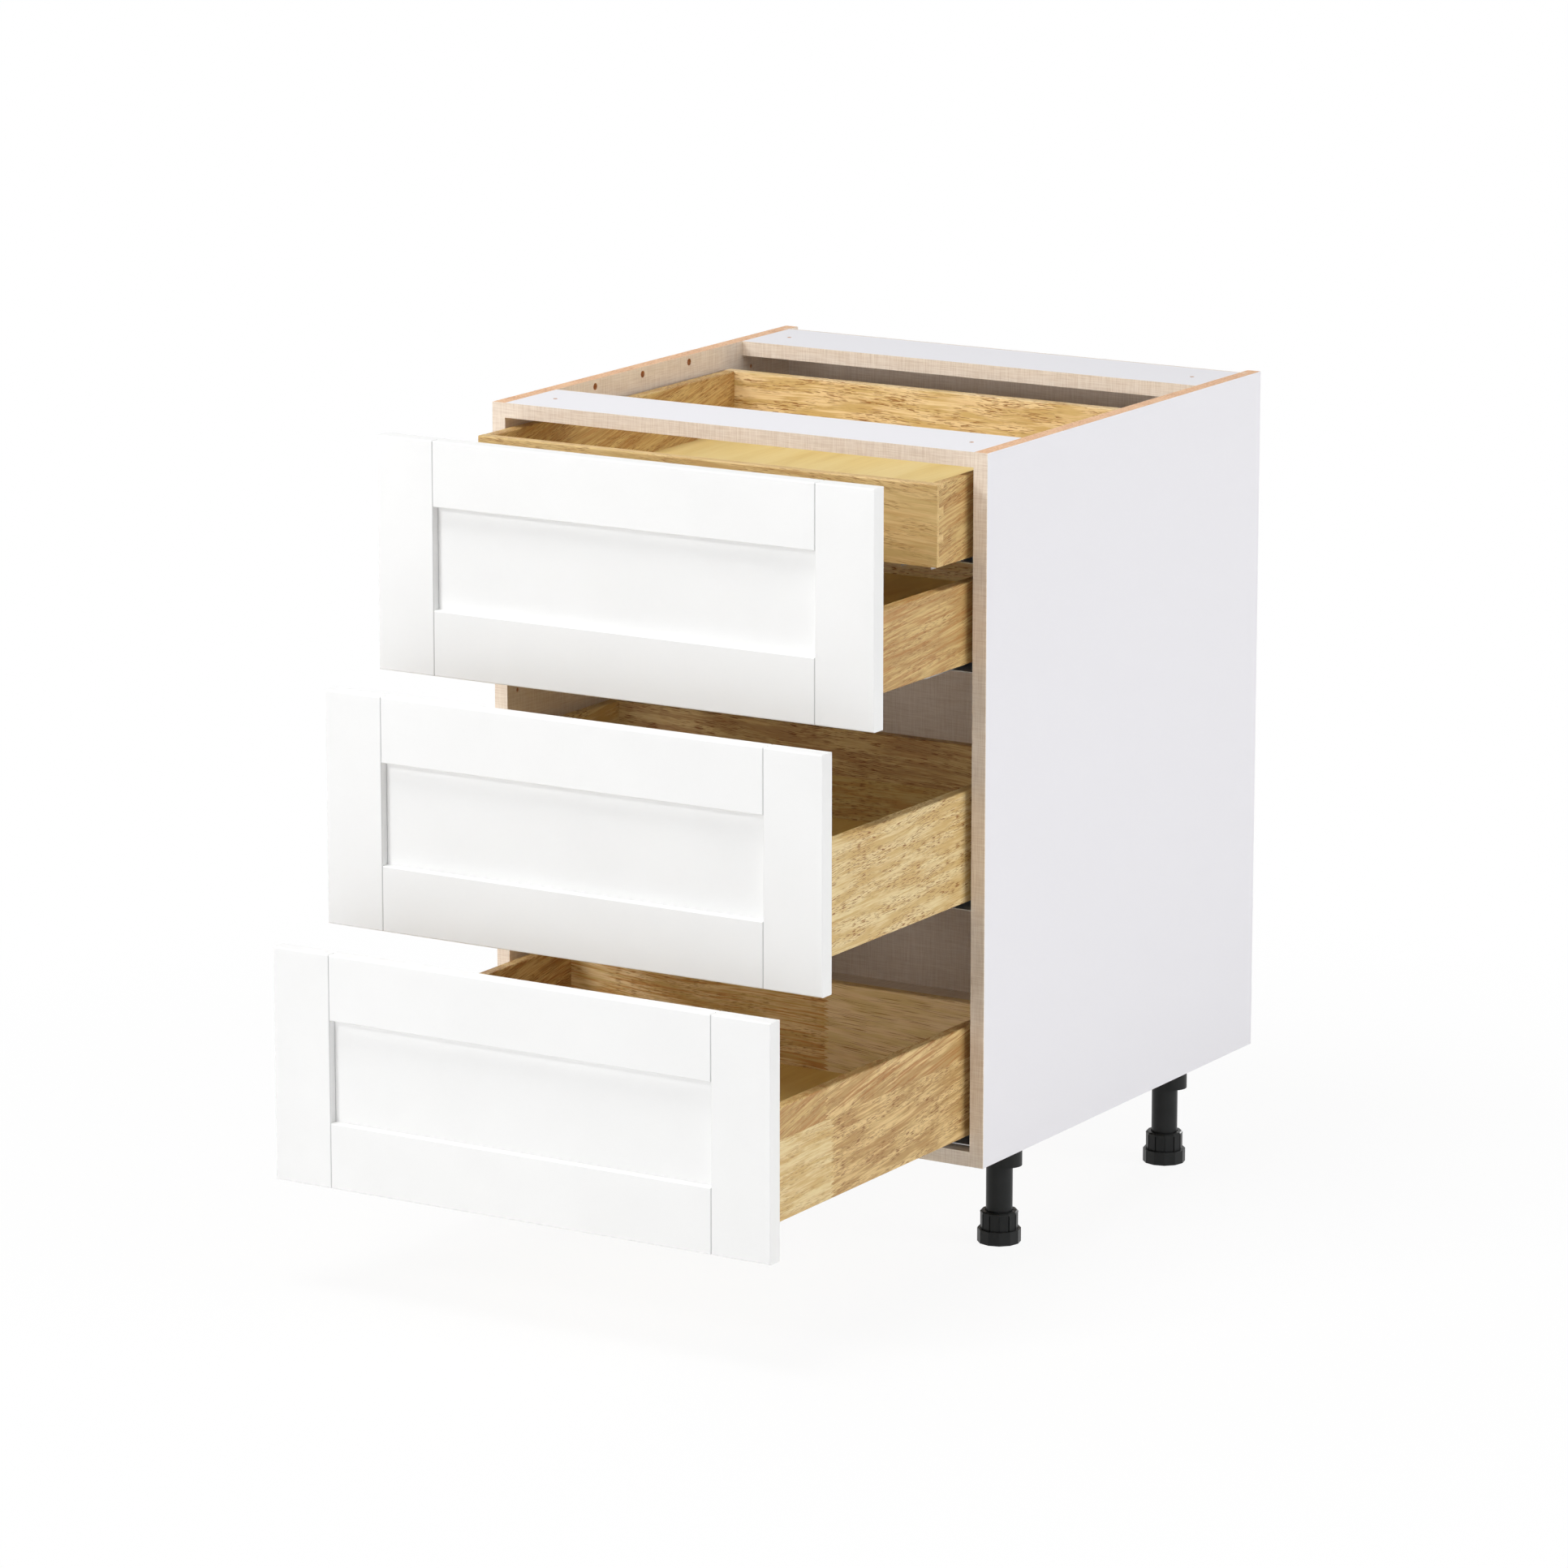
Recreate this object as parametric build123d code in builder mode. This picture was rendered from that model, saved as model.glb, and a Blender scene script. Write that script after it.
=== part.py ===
from build123d import *
import os

os.makedirs("parts", exist_ok=True)

# A kitchen base cabinet with three shaker-front drawers and one inner drawer, in millimetres.
# X runs across the cabinet, -Y points out of its front, and Z is the height above the floor.
# The drawers stand open, each one further than the one above it. The origin is on the floor,
# midway across the cabinet and midway between its rear edges and the lowest drawer's front face.

# ---- carcass -------------------------------------------------------------------------------
cabinet_w = 610            # outside width, over both side panels
cabinet_d = 603            # depth of a side panel
carcass_h = 762            # height of a side panel
board_t = 16               # melamine-faced board
band_t = 1                 # edge band on a board's front edge
rail_d = 101               # depth of the front and rear rails under the worktop
back_t = 3                 # back panel
back_setback = 20          # from the rear edges of the side panels to the back panel's front face
back_groove_d = 8
groove_play = 0.2
worktop_hole_r = 2.5       # for the screws that hold the worktop, two in each rail
worktop_hole_x = 257.5

# ---- legs ----------------------------------------------------------------------------------
leg_h = 114                # floor to underside of the carcass
leg_x = 260                # leg axes, each side of the middle
leg_ys = (115, 485)        # leg axes, behind the front edges of the side panels

# ---- drawer fronts -------------------------------------------------------------------------
front_w = 605
front_h = 250
front_t = 18
front_gap = 4              # between fronts, and from a closed front to the carcass
front_lift = 1.5           # lowest front above the carcass's underside
frame_w = 70               # stiles and rails
recess_d = 9.5             # panel behind the face of its frame
panel_t = 6
tongue = 9                 # depth of the frame's inner groove
face_r = 1.5               # rounding of a front's outer edges
eased = 0.9                # bevel at the frame's joints and round the recess

# ---- drawer boxes --------------------------------------------------------------------------
box_w = 564
box_l = 508
box_t = 13
box_lift = 29.5            # box above the bottom edge of its front
bottom_t = 6
bottom_up = 14             # underside of the bottom above the lower edge of the box
bottom_groove = 6
box_edge_bevel = 1         # softening of the upper edges of a box's boards
tail_pitch = 29            # about one dovetail to this much of a box's height
lap = 4                    # front or back board left over the end of a tail
tail_flare = 1.3           # widening of a tail, each side
pin_w = 8                  # least width between two tails

# ---- runners, placed from the side panel's inner face and the box's lower edge ---------------
sheet = 1.2
bend = 1.6                 # each bend of the sheet, cut across this far from its outer corner
runner_inset = 10          # front end of a runner behind the carcass's front edges
cabinet_runner_l = 490
middle_runner_l = 400
middle_runner_start = 35
box_runner_start = 14      # behind the front of the drawer box
hook_gap = 0.2             # from the drawer box's rear to the hook plate on its runner

# ---- the drawers as they stand: how far each is open -----------------------------------------
drawer_names = ("drawer3", "drawer2", "drawer1")     # from the floor up
openings = {"drawer1": 200, "drawer2": 300, "drawer3": 400, "inner": 74}
box_heights = {"drawer1": 86, "drawer2": 119, "drawer3": 119, "inner": 86}
inner_box_z = 650.5        # lower edge of the inner drawer above the carcass's underside
inner_setback = 16         # inner drawer's box behind the closed main boxes

# ---- places that follow from the sizes above -------------------------------------------------
half_w = cabinet_w / 2
half_in = half_w - board_t
front_y = (openings["drawer3"] + front_gap + front_t - cabinet_d) / 2
rear_y = front_y + cabinet_d
back_y = rear_y - back_setback
carcass_top = leg_h + carcass_h
rail_z = carcass_top - board_t
front_pitch = front_h + front_gap
front_zs = {name: leg_h + front_lift + i * front_pitch for i, name in enumerate(drawer_names)}
box_zs = {name: z + box_lift for name, z in front_zs.items()}
box_zs["inner"] = leg_h + inner_box_z
setbacks = {"drawer1": 0, "drawer2": 0, "drawer3": 0, "inner": inner_setback}

bar_sides = 10             # sides of a fluted dowel, a small drilled hole or a wheel


def save(piece, name):
    """Labels one finished piece and writes it to its own file."""
    piece.part.label = name
    export_step(piece.part, f"parts/{name}.step")


def slab(x, y, z, mode=Mode.ADD):
    """Adds or cuts a block that spans x, y and z, each a (low, high) pair."""
    with Locations(((x[0] + x[1]) / 2, (y[0] + y[1]) / 2, (z[0] + z[1]) / 2)):
        Box(x[1] - x[0], y[1] - y[0], z[1] - z[0], mode=mode)


def bars(x, places, radius, mode=Mode.ADD):
    """Adds or cuts small ten-sided bars along X, spanning x, at the (y, z) places."""
    with BuildSketch(Plane.YZ.offset(x[0])) as ends:
        with Locations(*places):
            RegularPolygon(radius, bar_sides)
    extrude(ends.sketch, amount=x[1] - x[0], mode=mode)


def post(x, y, z, radius, mode=Mode.ADD):
    """Adds or cuts a cylinder along Z that spans z, a (low, high) pair."""
    with Locations((x, y, (z[0] + z[1]) / 2)):
        Cylinder(radius, z[1] - z[0], mode=mode)


# ---- carcass -------------------------------------------------------------------------------
dowel_r = 4
dowel_in_side = 11
dowel_in_board = 19
rail_dowel_inset = 25
bottom_dowel_places = (60, 520)      # behind the front edges of the side panels
front_rail_y = (front_y, front_y + rail_d)
rear_rail_y = (back_y - rail_d, back_y)
rail_mid_z = rail_z + board_t / 2
front_dowels, rear_dowels = (
    [(low + rail_dowel_inset, rail_mid_z), (high - rail_dowel_inset, rail_mid_z)]
    for low, high in (front_rail_y, rear_rail_y)
)
bottom_dowels = [(front_y + place, leg_h + board_t / 2) for place in bottom_dowel_places]
all_dowels = front_dowels + rear_dowels + bottom_dowels

# Spare holes in the side panels' inner faces: three like the dowels' level with the rails,
# and two small ones.
spare_places = [(front_y + back, rail_mid_z) for back in (178, 274, 370)]
small_hole_r = 2.5
small_hole_places = [(front_y + 20, leg_h + 445), (front_y + 501, leg_h + 731)]


def side_panel(name, side):
    """A side panel, at the left for side -1 and at the right for side 1."""
    inner = side * half_in
    with BuildPart() as panel:
        slab(sorted((inner, side * half_w)), (front_y + band_t, rear_y), (leg_h, carcass_top))
        slab(
            sorted((inner, inner + side * back_groove_d)),
            (back_y, back_y + back_t + groove_play),
            (leg_h, carcass_top),
            Mode.SUBTRACT,
        )
        drilled_x = sorted((inner, inner + side * dowel_in_side))
        bars(drilled_x, all_dowels + spare_places, dowel_r, Mode.SUBTRACT)
        bars(drilled_x, small_hole_places, small_hole_r, Mode.SUBTRACT)
    save(panel, name)


def cross_board(name, y, z, dowel_places, screw_y=None):
    """A board between the side panels, with dowel holes in both ends and two screw holes at screw_y."""
    with BuildPart() as board:
        slab((-half_in, half_in), y, (z, z + board_t))
        for side in (-1, 1):
            ends_x = sorted((side * half_in, side * (half_in - dowel_in_board)))
            bars(ends_x, dowel_places, dowel_r, Mode.SUBTRACT)
            if screw_y:
                post(side * worktop_hole_x, screw_y, (z, z + board_t), worktop_hole_r, Mode.SUBTRACT)
    save(board, name)


side_panel("left_side_panel", -1)
side_panel("right_side_panel", 1)
bottom_y = (front_y + band_t, back_y)
front_board_y = (front_rail_y[0] + band_t, front_rail_y[1] - band_t)
rear_board_y = (rear_rail_y[0] + band_t, rear_rail_y[1])
cross_board("bottom_panel", bottom_y, leg_h, bottom_dowels)
cross_board("front_rail", front_board_y, rail_z, front_dowels, sum(front_rail_y) / 2)
cross_board("rear_rail", rear_board_y, rail_z, rear_dowels, sum(rear_rail_y) / 2)

with BuildPart() as back_panel:
    half_back = half_in + back_groove_d - groove_play
    slab((-half_back, half_back), (back_y, back_y + back_t), (leg_h, carcass_top))
save(back_panel, "back_panel")

with BuildPart() as edge_bands:
    for side in (-1, 1):
        edge_x = sorted((side * half_in, side * half_w))
        slab(edge_x, (front_y, front_y + band_t), (leg_h, carcass_top))
    rail_span = (-half_in, half_in)
    slab(rail_span, (front_y, front_y + band_t), (leg_h, leg_h + board_t))
    for edge_y in (front_y, front_rail_y[1] - band_t, rear_rail_y[0]):
        slab(rail_span, (edge_y, edge_y + band_t), (rail_z, carcass_top))
save(edge_bands, "edge_bands")

with BuildPart() as dowels:
    bars((half_in - dowel_in_board, half_in + dowel_in_side), all_dowels, dowel_r)
    mirror(about=Plane.YZ)
save(dowels, "dowels")


# ---- legs ----------------------------------------------------------------------------------
socket_plate_t = 3
socket_plate_x = (228, 292)
socket_plate_w = 64
socket_plate_bevel = 5
socket_rib = 14            # reach and height of the ribs between plate and cup
socket_rib_t = 3
socket_rib_in = 1          # how far a rib runs into the cup's wall
socket_h = 28              # plate and cup together
socket_r = 16
socket_reach = 9.5         # the cup's oval, from the leg's axis towards the side panel
tube_r = 14.35
tube_bore_r = 11
tube_z = (26, leg_h - 6)
tube_play = 0.1
foot_sides = 12
base_r = 23.5
collar_r = 20.5
collar_z = (14.8, 34.7)
collar_bevel = 1.2
collar_bore_r = 15
collar_bore_z = 12
groove_z = (collar_z[0], 32)
groove_w = 1.8
groove_d = 1.3
spindle_r = 10.7
spindle_top = 75

with BuildPart() as leg_sockets:
    for leg_y in leg_ys:
        axis_y = front_y + leg_y
        plate_mid = sum(socket_plate_x) / 2
        with BuildSketch(Plane.XY.offset(leg_h - socket_plate_t)) as plate:
            with Locations((plate_mid, axis_y)):
                Rectangle(socket_plate_x[1] - socket_plate_x[0], socket_plate_w)
            chamfer(plate.vertices(), socket_plate_bevel)
        extrude(amount=socket_plate_t)
        with BuildSketch(Plane.XY.offset(leg_h - socket_h)):
            with Locations((leg_x + socket_reach / 2, axis_y)):
                SlotCenterToCenter(socket_reach, 2 * socket_r)
        extrude(amount=socket_h - socket_plate_t)
        rib_top = leg_h - socket_plate_t
        with BuildSketch(Plane.XZ.offset(-axis_y - socket_rib_t / 2)):
            wall = leg_x - socket_r + socket_rib_in
            tip = leg_x - socket_r - socket_rib
            Polygon((wall, rib_top), (tip, rib_top), (wall, rib_top - socket_rib), align=None)
        extrude(amount=socket_rib_t)
        with BuildSketch(Plane.YZ.offset(leg_x + (socket_reach - socket_rib_t) / 2)):
            for way in (-1, 1):
                wall = axis_y + way * (socket_r - socket_rib_in)
                tip = axis_y + way * (socket_r + socket_rib)
                Polygon((wall, rib_top), (tip, rib_top), (wall, rib_top - socket_rib), align=None)
        extrude(amount=socket_rib_t)
        post(leg_x, axis_y, (leg_h - socket_h, tube_z[1]), tube_r + tube_play, Mode.SUBTRACT)
    mirror(about=Plane.YZ)
save(leg_sockets, "leg_sockets")

with BuildPart() as leg_tubes:
    for leg_y in leg_ys:
        post(leg_x, front_y + leg_y, tube_z, tube_r)
        post(leg_x, front_y + leg_y, tube_z, tube_bore_r, Mode.SUBTRACT)
    mirror(about=Plane.YZ)
save(leg_tubes, "leg_tubes")


def foot(name, x, y):
    """A screw-in foot: faceted base, grooved collar and the spindle that turns inside the tube."""
    with BuildPart() as piece:
        with BuildSketch():
            RegularPolygon(base_r, foot_sides)
        extrude(amount=collar_z[0])
        with BuildSketch(Plane.XY.offset(collar_z[0])):
            RegularPolygon(collar_r, foot_sides)
        extrude(amount=collar_z[1] - collar_z[0])
        chamfer(piece.edges().group_by(Axis.Z)[-1], collar_bevel)
        with PolarLocations(collar_r, foot_sides):
            with Locations((0, 0, sum(groove_z) / 2)):
                Box(2 * groove_d, groove_w, groove_z[1] - groove_z[0], mode=Mode.SUBTRACT)
        post(0, 0, (collar_bore_z, collar_z[1]), collar_bore_r, Mode.SUBTRACT)
        post(0, 0, (collar_bore_z, spindle_top), spindle_r)
    piece.part.locate(Location((x, y, 0)))
    save(piece, name)


for row, leg_y in zip(("front", "rear"), leg_ys):
    for hand, side in (("left", -1), ("right", 1)):
        foot(f"{row}_{hand}_foot", side * leg_x, front_y + leg_y)


# ---- drawer fronts -------------------------------------------------------------------------
half_front = front_w / 2
half_recess = half_front - frame_w
tenon_play = 0.1


def shaker_front(name, back_face_y, z):
    """A five-piece front: two stiles, two rails, and a panel held in their grooves."""
    face_y = back_face_y - front_t
    groove_y = (face_y + recess_d, face_y + recess_d + panel_t + groove_play)
    held_y = (groove_y[0] + tenon_play, groove_y[1] - tenon_play)
    top = z + front_h

    with BuildPart() as stiles:
        slab((half_recess, half_front), (face_y, back_face_y), (z, top))
        face_edges = stiles.edges().group_by(Axis.Y)[0].sort_by(Axis.X)
        fillet(face_edges[1:], face_r)
        inner_edge = stiles.edges().group_by(Axis.Y)[0].sort_by(Axis.X)[0]
        chamfer(inner_edge, eased)
        slab((half_recess, half_recess + tongue), groove_y, (z, top), Mode.SUBTRACT)
        mirror(about=Plane.YZ)
    save(stiles, f"{name}_front_stiles")

    with BuildPart() as rails:
        half_tenon = half_recess + tongue - groove_play
        for rail_low, outer, inner in ((z, 0, -1), (top - frame_w, -1, 0)):
            with BuildPart(mode=Mode.PRIVATE) as rail:
                slab((-half_recess, half_recess), (face_y, back_face_y), (rail_low, rail_low + frame_w))
                outer_edge = rail.edges().group_by(Axis.Y)[0].sort_by(Axis.Z)[outer]
                fillet(outer_edge, face_r)
                face_edges = rail.edges().group_by(Axis.Y)[0].sort_by(Axis.Z)
                chamfer(face_edges[:3] if outer else face_edges[1:], eased)
                slab((-half_tenon, half_tenon), held_y, (rail_low, rail_low + frame_w))
                groove_low = rail_low if outer else rail_low + frame_w - tongue
                groove_z = (groove_low, groove_low + tongue)
                slab((-half_tenon, half_tenon), groove_y, groove_z, Mode.SUBTRACT)
            add(rail.part)
    save(rails, f"{name}_front_rails")

    with BuildPart() as panel:
        reach = tongue - groove_play
        half_panel = half_recess + reach
        slab((-half_panel, half_panel), held_y, (z + frame_w - reach, top - frame_w + reach))
    save(panel, f"{name}_front_panel")


# ---- drawer boxes --------------------------------------------------------------------------
half_box = box_w / 2
half_inside = half_box - box_t
runner_gap_w = 40          # cut away under the bottom at each end of the back board
hook_x = half_in - 40      # holes in the back board that the runners' hooks enter
hook_up = 25
hook_hole_r = 3
hook_hole_depth = 8


def tail_outlines(shoulder_y, outward, z, height):
    """The outlines, as (y, z) points, of the tails that a side's end pushes into its board."""
    count = round(height / tail_pitch)
    pitch = height / count
    end_y = shoulder_y + outward * (box_t - lap)
    outlines = []
    for i in range(count):
        middle = z + (i + 0.5) * pitch
        end_half = (pitch - pin_w) / 2
        root_half = end_half - tail_flare
        outlines.append(
            [
                (shoulder_y, middle - root_half),
                (shoulder_y, middle + root_half),
                (end_y, middle + end_half),
                (end_y, middle - end_half),
            ]
        )
    return outlines


def drawer_box(name, y, z, height):
    """Two sides, front board, back board and bottom, half-blind dovetailed at the corners."""
    inner_y = (y + box_t, y + box_l - box_t)
    tails = tail_outlines(inner_y[0], -1, z, height) + tail_outlines(inner_y[1], 1, z, height)
    groove_z = (z + bottom_up, z + bottom_up + bottom_t)
    groove_x = half_inside + bottom_groove

    with BuildPart() as sides:
        with BuildSketch(Plane.YZ.offset(half_inside)):
            with Locations(((inner_y[0] + inner_y[1]) / 2, z + height / 2)):
                Rectangle(inner_y[1] - inner_y[0], height)
            for outline in tails:
                Polygon(*outline, align=None)
        extrude(amount=box_t)
        chamfer(sides.edges().filter_by(Axis.Y).group_by(Axis.Z)[-1], box_edge_bevel)
        slab((half_inside, groove_x), (y, y + box_l), groove_z, Mode.SUBTRACT)
        mirror(about=Plane.YZ)
    save(sides, f"{name}_box_sides")

    runner_gap = (half_inside - runner_gap_w, half_inside)
    ends = (("front", y, inner_y[0]), ("back", inner_y[1], y + box_l))
    for end, low_y, high_y in ends:
        with BuildPart() as board:
            slab((-half_box, half_box), (low_y, high_y), (z, z + height))
            chamfer(board.edges().filter_by(Axis.X).group_by(Axis.Z)[-1], box_edge_bevel)
            for side in (-1, 1):
                with BuildSketch(Plane.YZ.offset(min(side * half_inside, side * half_box))):
                    for outline in tails:
                        Polygon(*outline, align=None)
                extrude(amount=box_t, mode=Mode.SUBTRACT)
            if end == "front":
                groove_y = (high_y - bottom_groove, high_y)
            else:
                groove_y = (low_y, low_y + bottom_groove)
                for gap in (runner_gap, (-runner_gap[1], -runner_gap[0])):
                    slab(gap, (low_y, high_y), (z, z + bottom_up), Mode.SUBTRACT)
                with BuildSketch(Plane.XZ.offset(-high_y)):
                    with Locations((hook_x, z + hook_up), (-hook_x, z + hook_up)):
                        RegularPolygon(hook_hole_r, bar_sides)
                extrude(amount=hook_hole_depth, mode=Mode.SUBTRACT)
            slab((-groove_x, groove_x), groove_y, groove_z, Mode.SUBTRACT)
        save(board, f"{name}_box_{end}")

    with BuildPart() as bottom:
        reach = bottom_groove - groove_play
        half_bottom = half_inside + reach
        slab((-half_bottom, half_bottom), (inner_y[0] - reach, inner_y[1] + reach), groove_z)
    save(bottom, f"{name}_box_bottom")


# ---- runners -------------------------------------------------------------------------------
# Corners of each bent strip's outer face, as (in from the side panel, up from the box's lower edge).
# The sheet lies to the right of the line.
bracket_line = [(0, 26), (0, -11.5), (52, -11.5)]
track_line = [(28, 5.6), (28, -10.3), (52, -10.3), (52, 5.6)]
middle_line = [(54.8, -8.6), (54.8, 9), (25.2, 9), (25.2, -8.6)]
cap_line = [(58.2, -5.6), (58.2, 14), (21.8, 14), (21.8, -5.6)]
slot_places = (24, 280, 440)         # screw slots, along the cabinet member's upright flange
slot_size = (12, 5)
slot_up = 17
carriage_span = (34, 46)
carriage_l = 30
carriage_places = (40, 360)          # along the middle member
carriage_up = (-0.4, 12.7)
saddle_span = (28, 52)               # the carriage's lip under the middle member's web
saddle_l = 44
saddle_up = (5.8, 7.8)
window_play = 0.2
wheel_r = 5
wheel_up = -4.2
wheel_w = 8
hook_plate_w = 14
hook_plate_up = (12.8, 30)
hook_tongue = (4, 3)                 # width and height
hook_tongue_l = 7
clip_plate_span = (59, 95)
clip_plate_l = 62
clip_plate_up = (11.5, 14)
clip_latch_up = 4
# The latch's outline, as (in from the side panel, behind the clip's front end).
clip_latch = ((59, 2), (71, 2), (71, 12), (92, 20), (92, 23), (71, 21), (71, 48), (64, 54), (59, 54))


def strip_points(line, z):
    """A strip's line as (x, z) points on the right-hand side, with each bend cut across."""
    points = [Vector(half_in - across, z + up) for across, up in line]
    bent = [points[0]]
    for before, corner, after in zip(points, points[1:], points[2:]):
        bent.append(corner + (before - corner).normalized() * bend)
        bent.append(corner + (after - corner).normalized() * bend)
    return bent + [points[-1]]


def inward(span):
    """Turns a (near, far) span from the right-hand side panel into a (low, high) span of x."""
    return (half_in - span[1], half_in - span[0])


def about(middle, length):
    """The (low, high) span of a length centred on middle."""
    return (middle - length / 2, middle + length / 2)


def runner_members(name, y, z, opening):
    """A drawer's pair of undermount runners, for a box whose lower edge is at z."""
    middle_y = y + middle_runner_start - opening / 2
    box_y = y - opening - box_runner_start
    cap_y = box_y + box_runner_start
    cap_l = box_l - box_runner_start + hook_gap + sheet
    members = (
        ("cabinet_runners", (bracket_line, track_line), y, cabinet_runner_l),
        ("middle_runners", (middle_line,), middle_y, middle_runner_l),
        ("box_runners", (cap_line,), cap_y, cap_l),
    )
    for member, lines, start_y, length in members:
        with BuildPart() as runners:
            for line in lines:
                with BuildSketch(Plane.XZ.offset(-start_y)):
                    with BuildLine():
                        Polyline(*strip_points(line, z))
                        offset(amount=sheet, side=Side.RIGHT, kind=Kind.INTERSECTION)
                    make_face()
                extrude(amount=-length)
            if member == "cabinet_runners":
                for place in slot_places:
                    slot_y = about(start_y + place, slot_size[0])
                    slot_z = about(z + slot_up, slot_size[1])
                    slab((half_in - 2 * sheet, half_in), slot_y, slot_z, Mode.SUBTRACT)
            if member == "middle_runners":
                window_x = inward((carriage_span[0] - window_play, carriage_span[1] + window_play))
                for place in carriage_places:
                    window_y = about(start_y + place, carriage_l + 2 * window_play)
                    slab(window_x, window_y, (z, z + bottom_up), Mode.SUBTRACT)
            if member == "box_runners":
                plate_y = box_y + box_l + hook_gap
                plate_z = (z + hook_plate_up[0], z + hook_plate_up[1])
                slab(about(hook_x, hook_plate_w), (plate_y, plate_y + sheet), plate_z)
                tongue_z = about(z + hook_up, hook_tongue[1])
                slab(about(hook_x, hook_tongue[0]), (plate_y - hook_tongue_l, plate_y), tongue_z)
            mirror(about=Plane.YZ)
        save(runners, f"{name}_{member}")

    with BuildPart() as carriages:
        carriage_x = inward(carriage_span)
        for place in carriage_places:
            mid_y = middle_y + place
            slab(carriage_x, about(mid_y, carriage_l), (z + carriage_up[0], z + carriage_up[1]))
            slab(inward(saddle_span), about(mid_y, saddle_l), (z + saddle_up[0], z + saddle_up[1]))
            bars(about(sum(carriage_x) / 2, wheel_w), [(mid_y, z + wheel_up)], wheel_r)
        mirror(about=Plane.YZ)
    save(carriages, f"{name}_runner_carriages")

    with BuildPart() as clips:
        clip_y = box_y + box_t
        clip_plate_z = (z + clip_plate_up[0], z + clip_plate_up[1])
        slab(inward(clip_plate_span), (clip_y, clip_y + clip_plate_l), clip_plate_z)
        with BuildSketch(Plane.XY.offset(z + clip_latch_up)):
            Polygon(*[(half_in - across, clip_y + back) for across, back in clip_latch], align=None)
        extrude(amount=clip_plate_up[0] - clip_latch_up)
        mirror(about=Plane.YZ)
    save(clips, f"{name}_locking_clips")


for name, opening in openings.items():
    runner_y = front_y + runner_inset + setbacks[name]
    drawer_box(name, runner_y - box_runner_start - opening, box_zs[name], box_heights[name])
    runner_members(name, runner_y, box_zs[name], opening)
    if name in front_zs:
        shaker_front(name, front_y - front_gap - opening, front_zs[name])
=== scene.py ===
from math import cos, pi, radians, sin

import bmesh
import bpy
from mathutils import Matrix, Vector


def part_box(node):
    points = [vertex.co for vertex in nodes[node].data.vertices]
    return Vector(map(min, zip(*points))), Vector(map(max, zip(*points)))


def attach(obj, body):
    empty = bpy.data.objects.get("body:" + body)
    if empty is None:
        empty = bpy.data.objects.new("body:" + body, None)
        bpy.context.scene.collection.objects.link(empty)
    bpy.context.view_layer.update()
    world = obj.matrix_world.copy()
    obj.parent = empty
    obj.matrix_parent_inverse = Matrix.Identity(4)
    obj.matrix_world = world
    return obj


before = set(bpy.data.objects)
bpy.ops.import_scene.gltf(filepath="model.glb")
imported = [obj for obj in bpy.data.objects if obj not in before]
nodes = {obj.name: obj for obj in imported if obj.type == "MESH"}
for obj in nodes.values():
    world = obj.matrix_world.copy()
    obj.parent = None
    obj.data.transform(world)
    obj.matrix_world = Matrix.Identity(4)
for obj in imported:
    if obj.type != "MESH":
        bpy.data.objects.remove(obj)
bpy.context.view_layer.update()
DRAWERS = ("drawer1", "drawer2", "drawer3", "inner")

# Places that the materials and the small pieces need, in metres.
PANEL_LOW, PANEL_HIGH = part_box("right_side_panel")
HALF_WIDTH = PANEL_HIGH.x
HALF_INSIDE = PANEL_LOW.x
SKIN = 0.0002              # how near a surface a point must be to count as on it
STILE_WIDTH = 0.070
JOINT_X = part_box("drawer1_front_stiles")[1].x - STILE_WIDTH
GROOVE_SHADE_WIDTH = 0.0007          # width of the dark line of painted shade in the V-groove where a front's rail meets its stile
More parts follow.
